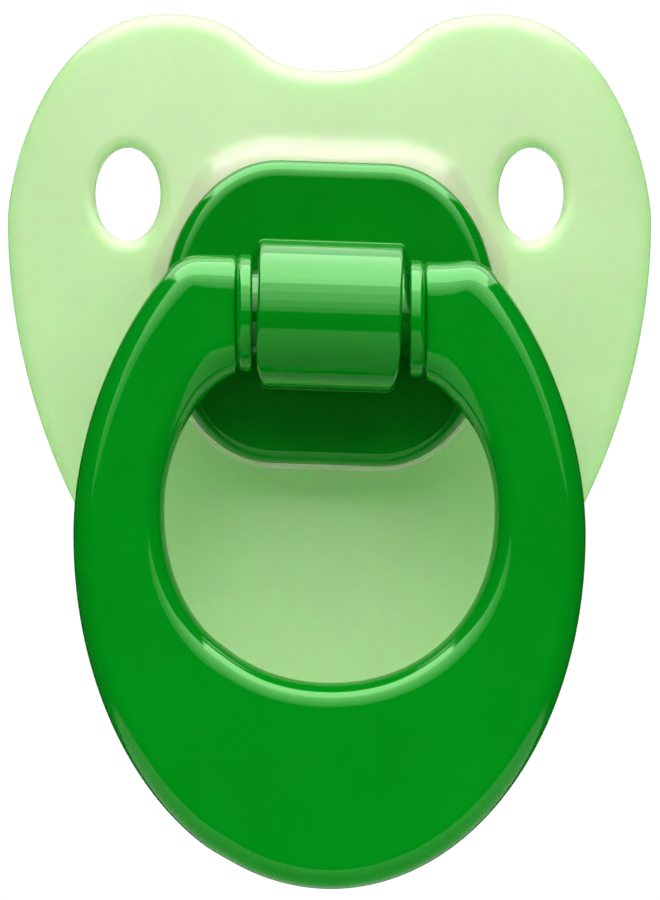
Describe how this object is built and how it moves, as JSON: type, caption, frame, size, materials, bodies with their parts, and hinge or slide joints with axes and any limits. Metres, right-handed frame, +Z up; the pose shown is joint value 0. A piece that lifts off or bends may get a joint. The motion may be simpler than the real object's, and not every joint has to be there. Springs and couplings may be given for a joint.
{
  "type": "baby pacifier",
  "caption": "Heart-shaped baby pacifier with a bowed vented shield, a hollow silicone teat, and a pull ring that swings on a barrel across its front cover.",
  "frame": {"origin": "middle of the teat's neck, level with the rear face of the shield", "axes": "+Z up, from the ring's lower edge towards the notch in the shield; +Y back towards the tip of the teat; the cover, barrel and ring face -Y; +X to the right as seen from the front"},
  "size_m": [0.0454, 0.0428, 0.0614],
  "materials": {
    "shield": "translucent light green polypropylene, glossy",
    "teat": "clear silicone, smooth",
    "plug": "natural white polypropylene, satin",
    "cover": "deep green polypropylene, high gloss",
    "ring": "deep green polypropylene, high gloss"
  },
  "bodies": {
    "holder": {"shield": "shield", "teat": "teat", "plug": "plug", "cover": "cover"},
    "pull_ring": {"ring": "ring"}
  },
  "joints": [
    {"name": "ring_swing", "type": "hinge", "parent": "holder", "child": "pull_ring", "pos_m": [0, -0.0104, 0], "axis": [-1, 0, 0], "range_deg": [-17, 199]}
  ]
}
